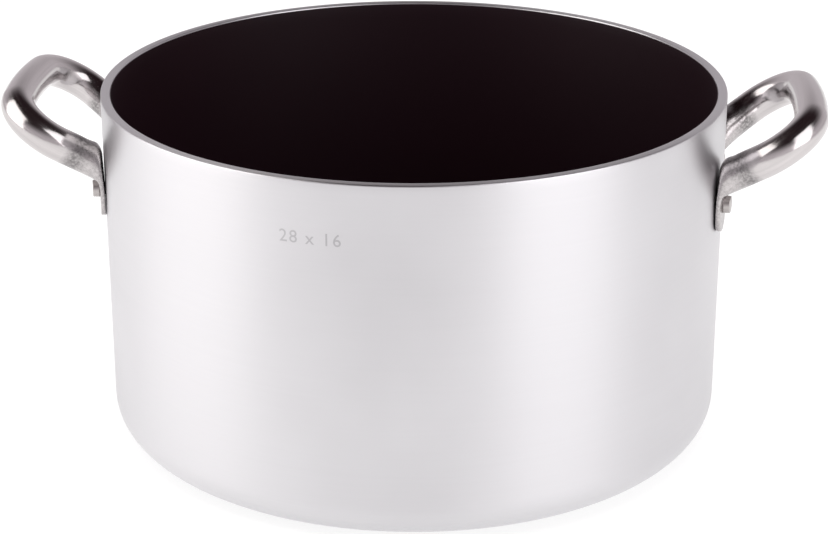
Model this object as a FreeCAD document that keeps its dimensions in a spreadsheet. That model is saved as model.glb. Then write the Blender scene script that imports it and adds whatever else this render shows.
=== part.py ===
import FreeCAD, Part
import math
import os

import Sketcher

# Aluminium stock pot with a dark non-stick lining and two riveted tube handles.
# Units are millimetres. The origin is the centre of the underside, +Z is up,
# and the two handles stand out along +X and -X.

V = FreeCAD.Vector
UP = V(0, 0, 1)
ORIGIN = V(0, 0, 0)
doc = FreeCAD.newDocument("stock_pot")


# Driving dimensions

SIZES = [
    ("pot_radius", 144.0, "outside radius of the straight wall"),
    ("pot_height", 164.0, "underside to rim"),
    ("shell_wall", 4.4, "aluminium wall"),
    ("shell_floor", 4.7, "aluminium floor"),
    ("corner_outer", 16.5, "outside radius where wall meets floor"),
    ("lining_skin", 0.3, "non-stick skin"),
    ("rim_round", 0.6, "rounding of the rim's two edges"),
    ("foot_angle", 12.8, "angle of each handle foot from the X axis, degrees"),
    ("foot_gap", 0.05, "air between the flat foot and the round wall"),
    ("foot_sheet", 2.4, "thickness of the flattened tube"),
    ("foot_width_top", 18.6, "width of the foot where the arm joins it"),
    ("foot_tip_radius", 8.6, "rounded lower end of the foot"),
    ("foot_top_level", 122.9, "height of the top of the flat foot"),
    ("foot_tip_level", 106.7, "height of the lowest point of the foot"),
    ("rivet_level", 119.2, "height of the rivet axis"),
    ("rivet_shank", 3.0, "rivet shank radius"),
    ("rivet_head", 4.1, "outer head radius at its seat"),
    ("rivet_head_face", 3.85, "outer head radius at its face"),
    ("rivet_head_tall", 3.2, "outer head height"),
    ("rivet_inner_head", 6.0, "inner head radius"),
    ("rivet_inner_face", 3.3, "inner head radius at its face"),
    ("rivet_inner_tall", 1.6, "inner head height"),
    ("rivet_inner_seat", 0.15, "inner head stands off the round lining by this"),
    ("head_clearance", 0.15, "air around the outer head"),
    ("drill_start", 5.0, "foot holes start this far inside the wall's face"),
    ("drill_travel", 20.0, "depth of each cut in the foot"),
    ("tube_radius", 7.8, "handle tube, outside"),
    ("tube_bore", 6.6, "handle tube, inside"),
    ("arm_splay", 24.0, "plan angle of each arm from the X axis, degrees"),
    ("arm_slope", 31.5, "rise of the arms, degrees"),
    ("arm_level", 130.6, "height where the arm axis would meet the wall"),
    ("arm_start", 14.0, "plan distance along the arm where the round tube begins"),
    ("grip_reach", 181.5, "distance of the middle of the grip from the pot axis"),
    ("grip_radius", 230.0, "bow of the grip"),
    ("grip_corner", 20.0, "bend radius between arm and grip, on the tube axis"),
]

sheet = doc.addObject("Spreadsheet::Sheet", "Sizes")
value = {}
for row, (alias, number, note) in enumerate(SIZES, start=1):
    sheet.set("A%d" % row, alias)
    sheet.set("B%d" % row, "%s" % number)
    sheet.set("C%d" % row, note)
    sheet.setAlias("B%d" % row, alias)
    value[alias] = number
doc.recompute()


# Helpers

def origin_plane(body, role):
    return [item for item in body.Origin.OriginFeatures if item.Role == role][0]


def new_body(name):
    return doc.addObject("PartDesign::Body", name)


def new_sketch(body, name, role):
    sketch = body.newObject("Sketcher::SketchObject", name)
    sketch.AttachmentSupport = [(origin_plane(body, role), "")]
    sketch.MapMode = "FlatFace"
    return sketch


def bind(item, path, formula):
    item.setExpression(path, formula)


def size_constraint(sketch, kind, refs, name, formula, start):
    """Add one named driving dimension and bind it to the sheet."""
    index = sketch.addConstraint(Sketcher.Constraint(kind, *refs, start))
    sketch.renameConstraint(index, name)
    sketch.setExpression("Constraints." + name, formula)


def chain(sketch, count):
    """Join the ends of consecutive edges into one closed outline."""
    for edge in range(count):
        sketch.addConstraint(Sketcher.Constraint("Coincident", edge, 2, (edge + 1) % count, 1))


def outline(sketch, points):
    """Closed straight outline, each corner bound to the sheet by its two distances."""
    corners = [V(x, y, 0) for x, y, _, _ in points]
    for edge, corner in enumerate(corners):
        following = corners[(edge + 1) % len(corners)]
        sketch.addGeometry(Part.LineSegment(corner, following), False)
    chain(sketch, len(points))
    for edge, (x, y, formula_x, formula_y) in enumerate(points):
        size_constraint(sketch, "DistanceX", (-1, 1, edge, 1), "x%d" % edge, formula_x, x)
        size_constraint(sketch, "DistanceY", (-1, 1, edge, 1), "y%d" % edge, formula_y, y)


def revolve(body, sketch, name, axis="V_Axis"):
    turn = body.newObject("PartDesign::Revolution", name)
    turn.Profile = sketch
    turn.ReferenceAxis = (sketch, [axis])
    turn.Angle = 360
    return turn


def radial_holes(body, prefix):
    """Four rivet holes: one pocket through both walls, mirrored across the XZ plane."""
    doc.recompute()
    sketch = new_sketch(body, prefix + "_hole_sketch", "YZ_Plane")
    swing = FreeCAD.Rotation(V(0, 1, 0), value["foot_angle"])
    sketch.AttachmentOffset = FreeCAD.Placement(ORIGIN, swing)
    bind(sketch, ".AttachmentOffset.Rotation.Angle", "Sizes.foot_angle * 1 deg")
    centre = V(0, value["rivet_level"], 0)
    sketch.addGeometry(Part.Circle(centre, UP, value["rivet_shank"]), False)
    sketch.addConstraint(Sketcher.Constraint("PointOnObject", 0, 3, -2))
    size_constraint(
        sketch, "DistanceY", (-1, 1, 0, 3), "level", "Sizes.rivet_level", value["rivet_level"]
    )
    size_constraint(sketch, "Radius", (0,), "bore", "Sizes.rivet_shank", value["rivet_shank"])
    pocket = body.newObject("PartDesign::Pocket", prefix + "_holes")
    pocket.Profile = sketch
    pocket.SideType = "Symmetric"
    pocket.Length = 4 * value["pot_radius"]
    bind(pocket, "Length", "Sizes.pot_radius * 4")
    doc.recompute()
    mirror = body.newObject("PartDesign::Mirrored", prefix + "_holes_mirrored")
    mirror.Originals = [pocket]
    mirror.MirrorPlane = (origin_plane(body, "XZ_Plane"), [""])
    body.Tip = mirror
    doc.recompute()


# Vessel: one spun aluminium shell, straight wall, rounded base corner, flat-cut rim

def shell_profile(sketch, outer, bottom, corner, wall, floor, inner_corner, top, formulas):
    """Half section of a round-bottomed cup: floor, corner arc, wall, rim, back down inside."""
    inner = outer - wall
    low = bottom + floor
    outer_circle = Part.Circle(V(outer - corner, bottom + corner, 0), UP, corner)
    inner_circle = Part.Circle(V(inner - inner_corner, low + inner_corner, 0), UP, inner_corner)
    geometry = [
        Part.LineSegment(V(0, bottom, 0), V(outer - corner, bottom, 0)),
        Part.ArcOfCircle(outer_circle, -math.pi / 2, 0),
        Part.LineSegment(V(outer, bottom + corner, 0), V(outer, top, 0)),
        Part.LineSegment(V(outer, top, 0), V(inner, top, 0)),
        Part.LineSegment(V(inner, top, 0), V(inner, low + inner_corner, 0)),
        Part.ArcOfCircle(inner_circle, -math.pi / 2, 0),
        Part.LineSegment(V(inner - inner_corner, low, 0), V(0, low, 0)),
        Part.LineSegment(V(0, low, 0), V(0, bottom, 0)),
    ]
    for item in geometry:
        sketch.addGeometry(item, False)
    joins = [
        ("Tangent", 0, 2, 1, 1),
        ("Tangent", 1, 2, 2, 1),
        ("Coincident", 2, 2, 3, 1),
        ("Coincident", 3, 2, 4, 1),
        ("Tangent", 4, 2, 5, 2),
        ("Tangent", 5, 1, 6, 1),
        ("Coincident", 6, 2, 7, 1),
        ("Coincident", 7, 2, 0, 1),
    ]
    for join in joins:
        sketch.addConstraint(Sketcher.Constraint(*join))
    for level_edge in (0, 3, 6):
        sketch.addConstraint(Sketcher.Constraint("Horizontal", level_edge))
    for upright_edge in (2, 4):
        sketch.addConstraint(Sketcher.Constraint("Vertical", upright_edge))
    sketch.addConstraint(Sketcher.Constraint("PointOnObject", 7, 1, -2))
    sketch.addConstraint(Sketcher.Constraint("PointOnObject", 7, 2, -2))
    size_constraint(sketch, "DistanceX", (-1, 1, 2, 2), "outer", formulas["outer"], outer)
    size_constraint(sketch, "DistanceX", (-1, 1, 4, 1), "inner", formulas["inner"], inner)
    size_constraint(sketch, "DistanceY", (-1, 1, 2, 2), "top", formulas["top"], top)
    size_constraint(sketch, "DistanceY", (-1, 1, 7, 1), "low", formulas["low"], low)
    if bottom:
        size_constraint(sketch, "DistanceY", (-1, 1, 0, 1), "bottom", formulas["bottom"], bottom)
    else:
        sketch.addConstraint(Sketcher.Constraint("PointOnObject", 0, 1, -1))
    size_constraint(sketch, "Radius", (1,), "corner", formulas["corner"], corner)
    size_constraint(sketch, "Radius", (5,), "inner_corner", formulas["inner_corner"], inner_corner)


def make_vessel():
    body = new_body("pot_body")
    sketch = new_sketch(body, "vessel_section", "XZ_Plane")
    shell_profile(
        sketch,
        value["pot_radius"],
        0.0,
        value["corner_outer"],
        value["shell_wall"],
        value["shell_floor"],
        value["corner_outer"] - value["shell_wall"],
        value["pot_height"],
        {
            "outer": "Sizes.pot_radius",
            "inner": "Sizes.pot_radius - Sizes.shell_wall",
            "top": "Sizes.pot_height",
            "low": "Sizes.shell_floor",
            "corner": "Sizes.corner_outer",
            "inner_corner": "Sizes.corner_outer - Sizes.shell_wall",
        },
    )
    turn = revolve(body, sketch, "vessel_turned")
    doc.recompute()
    just_below_rim = value["pot_height"] - value["rim_round"]
    rim_edges = []
    for number, edge in enumerate(turn.Shape.Edges, start=1):
        box = edge.BoundBox
        if box.ZMin > just_below_rim and box.XLength > value["pot_radius"]:
            rim_edges.append("Edge%d" % number)
    rounding = body.newObject("PartDesign::Fillet", "rim_rounding")
    rounding.Base = (turn, rim_edges)
    bind(rounding, "Radius", "Sizes.rim_round")
    radial_holes(body, "vessel")
    return body


# Lining: dark non-stick skin over the whole inside, stopping just below the rim land

def make_lining():
    body = new_body("nonstick_lining")
    sketch = new_sketch(body, "lining_section", "XZ_Plane")
    outer = value["pot_radius"] - value["shell_wall"]
    corner = value["corner_outer"] - value["shell_wall"]
    shell_profile(
        sketch,
        outer,
        value["shell_floor"],
        corner,
        value["lining_skin"],
        value["lining_skin"],
        corner - value["lining_skin"],
        value["pot_height"] - value["rim_round"],
        {
            "outer": "Sizes.pot_radius - Sizes.shell_wall",
            "inner": "Sizes.pot_radius - Sizes.shell_wall - Sizes.lining_skin",
            "top": "Sizes.pot_height - Sizes.rim_round",
            "bottom": "Sizes.shell_floor",
            "low": "Sizes.shell_floor + Sizes.lining_skin",
            "corner": "Sizes.corner_outer - Sizes.shell_wall",
            "inner_corner": "Sizes.corner_outer - Sizes.shell_wall - Sizes.lining_skin",
        },
    )
    revolve(body, sketch, "lining_turned")
    radial_holes(body, "lining")
    return body


# Handles: one bent tube each, both ends pressed flat into a foot that lies on the wall

# Oval sections from the round tube down to the flat foot. Each is given by its inner edge
# and its outer edge (distance from the wall, height below the arm's own start), its width,
# and how much of the arm's sideways swing is left at that section.
ARM_SECTIONS = [
    ((5.8, -4.0), (15.0, 8.4), 16.2, 0.75),
    ((2.3, -2.0), (11.6, 10.4), 17.6, 0.5),
    ((0.7, 1.4), (8.2, 12.2), 19.2, 0.3),
    ((0.4, 6.4), (5.4, 13.4), 20.2, 0.15),
    ((0.2, 12.0), (3.3, 14.6), 20.6, 0.0),
    ((0.1, 18.2), (2.5, 18.2), 20.4, 0.0),
]
HOLLOW_SECTIONS = 4
START_LEVEL = "Sizes.arm_level + Sizes.arm_start * tan(Sizes.arm_slope * 1 deg)"
SWING = "(Sizes.arm_splay - Sizes.foot_angle) * 1 deg"


def arm_start_level():
    return value["arm_level"] + value["arm_start"] * math.tan(math.radians(value["arm_slope"]))


def arm_swing():
    """Angle between the arm and the foot it grows from, seen from above, in degrees."""
    return value["arm_splay"] - value["foot_angle"]


def arm_plane(sketch, distance, level, aside, swing, tilt):
    """Stand a sketch across the arm, turned by the swing and leaning by the tilt."""
    turned = FreeCAD.Rotation(V(0, 1, 0), swing).multiply(FreeCAD.Rotation(V(1, 0, 0), -tilt))
    centre = V(aside, level, value["pot_radius"] + distance)
    sketch.AttachmentOffset = FreeCAD.Placement(centre, turned)


def round_section(body, name, alias):
    """The circle where the pressed end takes over from the round tube."""
    sketch = new_sketch(body, name, "YZ_Plane")
    swing = math.radians(arm_swing())
    out = value["arm_start"] * math.cos(swing)
    aside = value["arm_start"] * math.sin(swing)
    arm_plane(sketch, out, arm_start_level(), aside, arm_swing(), value["arm_slope"])
    bind(sketch, ".AttachmentOffset.Base.x", "Sizes.arm_start * sin(%s)" % SWING)
    bind(sketch, ".AttachmentOffset.Base.y", START_LEVEL)
    bind(sketch, ".AttachmentOffset.Base.z", "Sizes.pot_radius + Sizes.arm_start * cos(%s)" % SWING)
    sketch.addGeometry(Part.Circle(ORIGIN, UP, value[alias]), False)
    sketch.addConstraint(Sketcher.Constraint("Coincident", 0, 3, -1, 1))
    size_constraint(sketch, "Radius", (0,), "ring", "Sizes." + alias, value[alias])
    return sketch


def oval_section(body, name, inner_edge, outer_edge, width, swing_left, skin):
    """One oval across the arm. The skin is how far it is shrunk to make the hollow."""
    sketch = new_sketch(body, name, "YZ_Plane")
    across = outer_edge[0] - inner_edge[0]
    fall = outer_edge[1] - inner_edge[1]
    distance = (inner_edge[0] + outer_edge[0]) / 2
    drop = (inner_edge[1] + outer_edge[1]) / 2
    tilt = math.degrees(math.atan2(across, fall))
    aside = value["arm_start"] * math.sin(math.radians(arm_swing())) * swing_left
    swing = arm_swing() * swing_left
    arm_plane(sketch, distance, arm_start_level() - drop, aside, swing, tilt)
    bind(sketch, ".AttachmentOffset.Base.x", "Sizes.arm_start * sin(%s) * %s" % (SWING, swing_left))
    bind(sketch, ".AttachmentOffset.Base.y", "%s - %s" % (START_LEVEL, drop))
    bind(sketch, ".AttachmentOffset.Base.z", "Sizes.pot_radius + %s" % distance)
    wide = width - 2 * skin
    thick = math.hypot(across, fall) - 2 * skin
    sketch.addGeometry(Part.Ellipse(V(wide / 2, 0, 0), V(0, thick / 2, 0), ORIGIN), False)
    sketch.exposeInternalGeometry(0)
    sketch.addConstraint(Sketcher.Constraint("Coincident", 0, 3, -1, 1))
    sketch.addConstraint(Sketcher.Constraint("PointOnObject", 1, 1, -1))
    size_constraint(sketch, "Distance", (1, 1, 1, 2), "width", "%s" % wide, wide)
    size_constraint(sketch, "Distance", (2, 1, 2, 2), "thickness", "%s" % thick, thick)
    return sketch


def pressed_loft(body, name, kind, alias, sections, skin):
    """Loft from the round tube through the pressed ovals, added or taken away."""
    start = round_section(body, name + "_round", alias)
    ovals = []
    for number, section in enumerate(sections, start=1):
        ovals.append(oval_section(body, "%s_oval_%d" % (name, number), *section, skin))
    loft = body.newObject("PartDesign::" + kind, name)
    loft.Profile = start
    loft.Sections = ovals
    loft.Ruled = False
    doc.recompute()


def foot_plate(body, name):
    """The flat foot: straight sides and a rounded lower end."""
    plate = new_sketch(body, name + "_outline", "YZ_Plane")
    seat = value["pot_radius"] + value["foot_gap"]
    plate.AttachmentOffset = FreeCAD.Placement(V(0, 0, seat), FreeCAD.Rotation())
    bind(plate, ".AttachmentOffset.Base.z", "Sizes.pot_radius + Sizes.foot_gap")
    half = value["foot_width_top"] / 2
    tip_radius = value["foot_tip_radius"]
    tip_centre = value["foot_tip_level"] + tip_radius
    top = value["foot_top_level"]
    tip_circle = Part.Circle(V(0, tip_centre, 0), UP, tip_radius)
    plate.addGeometry(Part.LineSegment(V(half, top, 0), V(-half, top, 0)), False)
    plate.addGeometry(Part.LineSegment(V(-half, top, 0), V(-tip_radius, tip_centre, 0)), False)
    plate.addGeometry(Part.ArcOfCircle(tip_circle, math.pi, 2 * math.pi), False)
    plate.addGeometry(Part.LineSegment(V(tip_radius, tip_centre, 0), V(half, top, 0)), False)
    joins = [
        ("Coincident", 0, 2, 1, 1),
        ("Tangent", 1, 2, 2, 1),
        ("Tangent", 2, 2, 3, 1),
        ("Coincident", 3, 2, 0, 1),
        ("Symmetric", 0, 1, 0, 2, -2),
        ("PointOnObject", 2, 3, -2),
    ]
    for join in joins:
        plate.addConstraint(Sketcher.Constraint(*join))
    tip_formula = "Sizes.foot_tip_level + Sizes.foot_tip_radius"
    size_constraint(plate, "DistanceX", (0, 2, 0, 1), "across", "Sizes.foot_width_top", 2 * half)
    size_constraint(plate, "DistanceY", (-1, 1, 0, 1), "top", "Sizes.foot_top_level", top)
    size_constraint(plate, "Radius", (2,), "tip", "Sizes.foot_tip_radius", tip_radius)
    size_constraint(plate, "DistanceY", (-1, 1, 2, 3), "tip_centre", tip_formula, tip_centre)
    pad = body.newObject("PartDesign::Pad", name)
    pad.Profile = plate
    pad.Length = value["foot_sheet"]
    bind(pad, "Length", "Sizes.foot_sheet")
    doc.recompute()


def foot_cut(body, name, distance, distance_formula, radius, radius_formula):
    """One round cut on the rivet axis, going outwards from the given distance off the wall."""
    sketch = new_sketch(body, name + "_sketch", "YZ_Plane")
    centre = V(0, 0, value["pot_radius"] + distance)
    sketch.AttachmentOffset = FreeCAD.Placement(centre, FreeCAD.Rotation())
    bind(sketch, ".AttachmentOffset.Base.z", "Sizes.pot_radius + %s" % distance_formula)
    level = value["rivet_level"]
    sketch.addGeometry(Part.Circle(V(0, level, 0), UP, radius), False)
    sketch.addConstraint(Sketcher.Constraint("PointOnObject", 0, 3, -2))
    size_constraint(sketch, "DistanceY", (-1, 1, 0, 3), "level", "Sizes.rivet_level", level)
    size_constraint(sketch, "Radius", (0,), "cut", radius_formula, radius)
    pocket = body.newObject("PartDesign::Pocket", name)
    pocket.Profile = sketch
    pocket.Reversed = True
    pocket.Length = value["drill_travel"]
    bind(pocket, "Length", "Sizes.drill_travel")
    doc.recompute()


def make_arm_end(name):
    """Flattened end of one arm, built along +X and then swung to its own angle."""
    body = new_body(name)
    skin = value["tube_radius"] - value["tube_bore"]
    pressed_loft(body, name + "_pressed", "AdditiveLoft", "tube_radius", ARM_SECTIONS, 0.0)
    hollow = ARM_SECTIONS[:HOLLOW_SECTIONS]
    pressed_loft(body, name + "_hollow", "SubtractiveLoft", "tube_bore", hollow, skin)
    foot_plate(body, name + "_plate")
    foot_cut(
        body,
        name + "_hole",
        -value["drill_start"],
        "-1 * Sizes.drill_start",
        value["rivet_shank"],
        "Sizes.rivet_shank",
    )
    foot_cut(
        body,
        name + "_seat",
        value["foot_gap"] + value["foot_sheet"],
        "Sizes.foot_gap + Sizes.foot_sheet",
        value["rivet_head"] + value["head_clearance"],
        "Sizes.rivet_head + Sizes.head_clearance",
    )
    body.Placement = FreeCAD.Placement(ORIGIN, FreeCAD.Rotation(UP, value["foot_angle"]))
    bind(body, ".Placement.Rotation.Angle", "Sizes.foot_angle * 1 deg")
    doc.recompute()
    return body


def make_loop(name):
    """Round tube from one arm to the other: two arms, two corner bends, a bowed grip."""
    body = new_body(name)
    foot_angle = math.radians(value["foot_angle"])
    splay = math.radians(value["arm_splay"])
    slope = math.radians(value["arm_slope"])
    start_x = value["pot_radius"] * math.cos(foot_angle) + value["arm_start"] * math.cos(splay)
    start_y = value["pot_radius"] * math.sin(foot_angle) + value["arm_start"] * math.sin(splay)
    plane_tilt = math.atan2(math.tan(slope), math.cos(splay))
    along = math.hypot(math.cos(splay) * math.cos(slope), math.sin(slope))
    lean = math.atan2(math.sin(splay) * math.cos(slope), along)

    foot_f = "(Sizes.foot_angle * 1 deg)"
    splay_f = "(Sizes.arm_splay * 1 deg)"
    slope_f = "(Sizes.arm_slope * 1 deg)"
    start_x_f = "(Sizes.pot_radius * cos(%s) + Sizes.arm_start * cos(%s))" % (foot_f, splay_f)
    start_y_f = "(Sizes.pot_radius * sin(%s) + Sizes.arm_start * sin(%s))" % (foot_f, splay_f)
    tilt_f = "atan(tan(%s) / cos(%s))" % (slope_f, splay_f)
    along_f = "sqrt(pow(cos(%s) * cos(%s); 2) + pow(sin(%s); 2))" % (splay_f, slope_f, slope_f)
    lean_f = "atan(sin(%s) * cos(%s) / %s)" % (splay_f, slope_f, along_f)
    grip_f = "Sizes.grip_radius - (Sizes.grip_reach - %s) / cos(%s)" % (start_x_f, tilt_f)

    path = new_sketch(body, name + "_axis", "XY_Plane")
    path.AttachmentOffset = FreeCAD.Placement(
        V(start_x, 0, arm_start_level()), FreeCAD.Rotation(V(0, -1, 0), math.degrees(plane_tilt))
    )
    bind(path, ".AttachmentOffset.Base.x", start_x_f)
    bind(path, ".AttachmentOffset.Base.z", START_LEVEL)
    bind(path, ".AttachmentOffset.Rotation.Angle", tilt_f)

    grip_radius = value["grip_radius"]
    bend = value["grip_corner"]
    apex = (value["grip_reach"] - start_x) / math.cos(plane_tilt)
    grip_centre = V(apex - grip_radius, 0, 0)
    direction = V(math.cos(lean), math.sin(lean), 0)
    inward = V(math.sin(lean), -math.cos(lean), 0)
    foot = V(0, start_y, 0)
    base = foot + inward * bend - grip_centre
    reach = grip_radius - bend
    back = base.dot(direction)
    travel = math.sqrt(back ** 2 - base.dot(base) + reach ** 2) - back
    line_end = foot + direction * travel
    bend_centre = line_end + inward * bend
    outward = bend_centre - grip_centre
    grip_half = math.atan2(outward.y, outward.x)
    arm_side = math.atan2(line_end.y - bend_centre.y, line_end.x - bend_centre.x)

    def flipped(point):
        return V(point.x, -point.y, 0)

    def arc(centre, radius, first, last):
        return Part.ArcOfCircle(Part.Circle(centre, UP, radius), first, last)

    path.addGeometry(Part.LineSegment(foot, line_end), False)
    path.addGeometry(arc(bend_centre, bend, grip_half, arm_side), False)
    path.addGeometry(arc(grip_centre, grip_radius, -grip_half, grip_half), False)
    path.addGeometry(arc(flipped(bend_centre), bend, -arm_side, -grip_half), False)
    path.addGeometry(Part.LineSegment(flipped(line_end), flipped(foot)), False)
    joins = [
        ("Tangent", 0, 2, 1, 2),
        ("Tangent", 1, 1, 2, 2),
        ("Tangent", 2, 1, 3, 2),
        ("Tangent", 3, 1, 4, 1),
        ("PointOnObject", 2, 3, -1),
        ("PointOnObject", 0, 1, -2),
        ("Symmetric", 0, 1, 4, 2, -1),
        ("Equal", 1, 3),
        ("Equal", 0, 4),
    ]
    for join in joins:
        path.addConstraint(Sketcher.Constraint(*join))
    size_constraint(path, "DistanceY", (-1, 1, 0, 1), "foot", start_y_f, start_y)
    size_constraint(path, "Radius", (1,), "bend", "Sizes.grip_corner", bend)
    size_constraint(path, "Radius", (2,), "bow", "Sizes.grip_radius", grip_radius)
    size_constraint(path, "DistanceX", (2, 3, -1, 1), "grip_centre", grip_f, grip_radius - apex)
    size_constraint(path, "Angle", (-1, 1, 0, 1), "lean", lean_f, lean)
    doc.recompute()

    for kind, alias in (("AdditivePipe", "tube_radius"), ("SubtractivePipe", "tube_bore")):
        ring = body.newObject("Sketcher::SketchObject", "%s_%s" % (name, alias))
        ring.AttachmentSupport = [(path, "Edge1")]
        ring.MapMode = "NormalToEdge"
        ring.MapPathParameter = 0.0
        ring.addGeometry(Part.Circle(ORIGIN, UP, value[alias]), False)
        ring.addConstraint(Sketcher.Constraint("Coincident", 0, 3, -1, 1))
        size_constraint(ring, "Radius", (0,), "ring", "Sizes." + alias, value[alias])
        pipe = body.newObject("PartDesign::" + kind, "%s_%s_swept" % (name, alias))
        pipe.Profile = ring
        pipe.Spine = (path, ["Edge%d" % number for number in range(1, 6)])
        body.Tip = pipe
        doc.recompute()
    return body


def make_handle(label, turned):
    """One handle: hollow loop plus its two pressed ends, turned about the pot axis."""
    loop = make_loop(label + "_loop")
    end = make_arm_end(label + "_end")
    other = doc.addObject("Part::Mirroring", label + "_other_end")
    other.Source = end
    other.Normal = V(0, 1, 0)
    doc.recompute()
    handle = doc.addObject("Part::MultiFuse", label)
    handle.Shapes = [loop, end, other]
    handle.Refine = True
    doc.recompute()
    handle.Placement = FreeCAD.Placement(ORIGIN, FreeCAD.Rotation(UP, turned))
    doc.recompute()
    return handle


# Rivets: flat outer head on the foot, shank through foot, wall and lining, low inner head

def make_rivet(label, side, hand):
    body = new_body(label)
    sketch = new_sketch(body, label + "_section", "XZ_Plane")
    lining_face = value["pot_radius"] - value["shell_wall"] - value["lining_skin"]
    inner_seat = lining_face - value["rivet_inner_seat"]
    outer_seat = value["pot_radius"] + value["foot_gap"] + value["foot_sheet"]
    inner_face = inner_seat - value["rivet_inner_tall"]
    outer_face = outer_seat + value["rivet_head_tall"]
    lining_face_f = "Sizes.pot_radius - Sizes.shell_wall - Sizes.lining_skin"
    inner_seat_f = lining_face_f + " - Sizes.rivet_inner_seat"
    outer_seat_f = "Sizes.pot_radius + Sizes.foot_gap + Sizes.foot_sheet"
    inner_face_f = inner_seat_f + " - Sizes.rivet_inner_tall"
    outer_face_f = outer_seat_f + " + Sizes.rivet_head_tall"
    points = [
        (inner_face, 0.0, inner_face_f, "0"),
        (outer_face, 0.0, outer_face_f, "0"),
        (outer_face, value["rivet_head_face"], outer_face_f, "Sizes.rivet_head_face"),
        (outer_seat, value["rivet_head"], outer_seat_f, "Sizes.rivet_head"),
        (outer_seat, value["rivet_shank"], outer_seat_f, "Sizes.rivet_shank"),
        (inner_seat, value["rivet_shank"], inner_seat_f, "Sizes.rivet_shank"),
        (inner_seat, value["rivet_inner_head"], inner_seat_f, "Sizes.rivet_inner_head"),
        (inner_face, value["rivet_inner_face"], inner_face_f, "Sizes.rivet_inner_face"),
    ]
    outline(sketch, points)
    revolve(body, sketch, label + "_turned", "H_Axis")
    angle = hand * value["foot_angle"]
    if side < 0:
        angle += 180.0
    level = V(0, 0, value["rivet_level"])
    body.Placement = FreeCAD.Placement(level, FreeCAD.Rotation(UP, angle))
    bind(body, ".Placement.Base.z", "Sizes.rivet_level")
    doc.recompute()
    return body


PARTS = [
    make_vessel(),
    make_lining(),
    make_handle("right_handle", 0.0),
    make_handle("left_handle", 180.0),
    make_rivet("rivet_right_front", 1, -1),
    make_rivet("rivet_right_rear", 1, 1),
    make_rivet("rivet_left_front", -1, 1),
    make_rivet("rivet_left_rear", -1, -1),
]

doc.recompute()

for item in doc.Objects:
    if "Invalid" in item.State or "Error" in item.State:
        raise RuntimeError("feature failed: %s %s" % (item.Label, item.State))

os.makedirs("parts", exist_ok=True)
for item in PARTS:
    shape = item.Shape
    if shape.isNull() or not shape.isValid():
        raise RuntimeError("bad shape: %s" % item.Label)
    shape.exportStep("parts/%s.step" % item.Label)
    box = shape.BoundBox
    print("%-20s solids %d  volume %.1f" % (item.Label, len(shape.Solids), shape.Volume))
    print("    x %.2f to %.2f" % (box.XMin, box.XMax))
    print("    y %.2f to %.2f" % (box.YMin, box.YMax))
    print("    z %.2f to %.2f" % (box.ZMin, box.ZMax))
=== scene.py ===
import math

import bmesh
import bpy
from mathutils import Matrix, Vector


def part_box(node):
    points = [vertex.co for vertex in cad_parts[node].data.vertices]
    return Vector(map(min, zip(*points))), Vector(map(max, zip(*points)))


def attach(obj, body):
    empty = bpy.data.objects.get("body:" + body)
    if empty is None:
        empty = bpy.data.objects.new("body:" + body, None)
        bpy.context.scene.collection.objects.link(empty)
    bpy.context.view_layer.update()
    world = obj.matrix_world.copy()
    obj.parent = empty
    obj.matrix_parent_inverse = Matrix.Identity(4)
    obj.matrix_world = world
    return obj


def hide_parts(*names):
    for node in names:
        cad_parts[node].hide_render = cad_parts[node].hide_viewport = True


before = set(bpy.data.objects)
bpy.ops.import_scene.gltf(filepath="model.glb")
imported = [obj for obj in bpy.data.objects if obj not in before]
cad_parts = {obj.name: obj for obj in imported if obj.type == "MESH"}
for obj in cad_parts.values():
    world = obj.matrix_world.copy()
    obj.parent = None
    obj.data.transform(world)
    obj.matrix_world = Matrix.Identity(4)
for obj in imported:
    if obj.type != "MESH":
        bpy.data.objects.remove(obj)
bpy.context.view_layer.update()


# ---------------------------------------------------------------------------
# Vessel. One deep aluminium shell, spun and turned on a lathe: flat floor,
# rounded base corner, straight wall and a thick rim cut off flat. The turning
# leaves rings too fine to feel on the wall and coarser ones under the floor.

def lathe_section(corners, step):
    """Points down a half section. Each corner is (radius from axis, height, rounding)."""
    points = []
    for number, (x, z, rounding) in enumerate(corners):
        here = Vector((x, z))
        if rounding <= 0 or number in (0, len(corners) - 1):
            points.append(here)
            continue
        before = Vector(corners[number - 1][:2])
        after = Vector(corners[number + 1][:2])
        towards_before = (before - here).normalized()
        towards_after = (after - here).normalized()
        half_angle = math.acos(max(-1, min(1, towards_before.dot(towards_after)))) / 2
        leg = rounding / math.tan(half_angle)
        centre = here + (towards_before + towards_after).normalized() * rounding / math.sin(half_angle)
        start = here + towards_before * leg - centre
        turn = math.pi - 2 * half_angle
        if start.x * towards_before.y - start.y * towards_before.x > 0:
            turn = -turn
        facets = max(5, int(abs(turn) * math.sqrt(rounding) * 60))
        for facet in range(facets + 1):
            angle = turn * facet / facets
            points.append(centre + Vector((
                start.x * math.cos(angle) - start.y * math.sin(angle),
                start.x * math.sin(angle) + start.y * math.cos(angle),
            )))
    filled = [points[0]]
    for point in points[1:]:
        gap = (point - filled[-1]).length
        pieces = max(1, math.ceil(gap / step))
        last = filled[-1].copy()
        for piece in range(1, pieces + 1):
            filled.append(last.lerp(point, piece / pieces))
    return [(point.x, point.y) for point in filled]


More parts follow.
